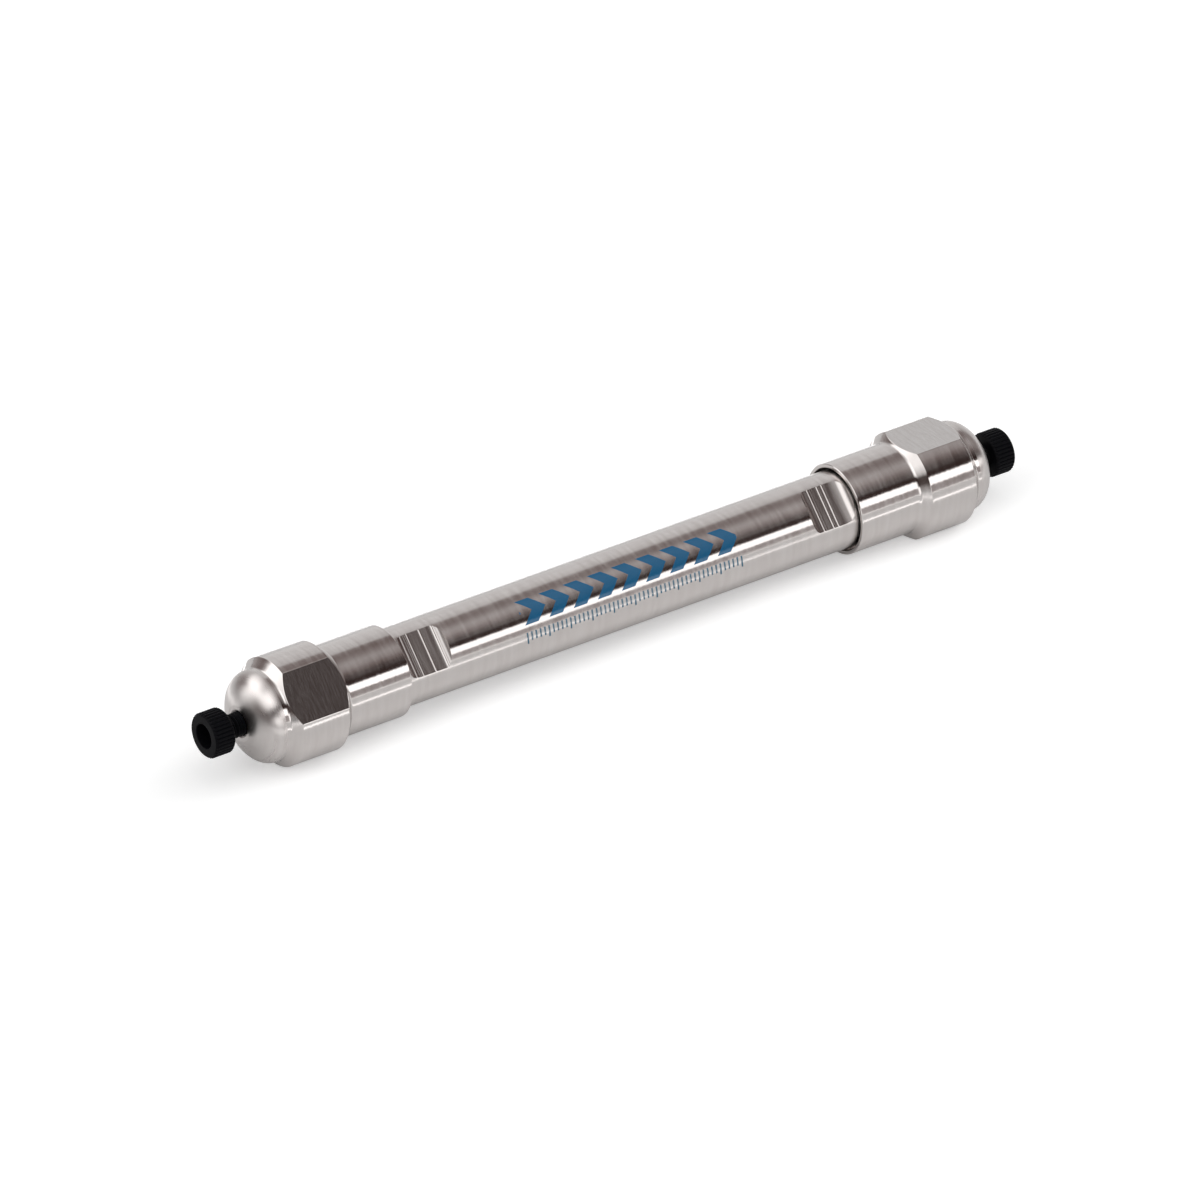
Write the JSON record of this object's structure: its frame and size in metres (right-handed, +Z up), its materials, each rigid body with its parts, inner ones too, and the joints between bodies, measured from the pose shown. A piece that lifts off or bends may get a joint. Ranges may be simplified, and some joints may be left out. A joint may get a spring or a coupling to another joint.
{
  "type": "hplc column",
  "caption": "Steel chromatography column: packed tube between domed end nuts with wrench flats, each port closed by a knurled plastic plug.",
  "frame": {"origin": "on the ground under the middle of the overall length, with the column lying as it comes to rest", "axes": "+X along the column from inlet to outlet (the axis falls 0.52 degrees towards +X), +Z up"},
  "size_m": [0.187, 0.0218, 0.0218],
  "materials": {
    "tube_steel": "turned and polished stainless steel, fine rings round the axis",
    "nut_steel": "turned stainless steel, bright, with brushed flats and a satin dome",
    "sintered_steel": "sintered, matt and porous",
    "seal_polymer": "machined natural polymer",
    "packing": "packed fine polymer beads",
    "black_polymer": "moulded black plastic, semi-matt"
  },
  "bodies": {
    "column": {"column_tube": "tube_steel", "packed_bed": "packing", "inlet_frit": "sintered_steel", "outlet_frit": "sintered_steel", "inlet_frit_ring": "seal_polymer", "outlet_frit_ring": "seal_polymer"},
    "inlet_nut": {"inlet_end_nut": "nut_steel"},
    "outlet_nut": {"outlet_end_nut": "nut_steel"},
    "inlet_stopper": {"inlet_plug": "black_polymer"},
    "outlet_stopper": {"outlet_plug": "black_polymer"}
  },
  "joints": [
    {"name": "inlet_nut_unscrew", "type": "slide", "parent": "column", "child": "inlet_nut", "axis": [-1, 0, 0.0091], "range_m": [0, 0.024]},
    {"name": "outlet_nut_unscrew", "type": "slide", "parent": "column", "child": "outlet_nut", "axis": [1, 0, -0.0091], "range_m": [0, 0.024]},
    {"name": "inlet_plug_unscrew", "type": "slide", "parent": "inlet_nut", "child": "inlet_stopper", "axis": [-1, 0, 0.0091], "range_m": [0, 0.008]},
    {"name": "outlet_plug_unscrew", "type": "slide", "parent": "outlet_nut", "child": "outlet_stopper", "axis": [1, 0, -0.0091], "range_m": [0, 0.008]}
  ]
}
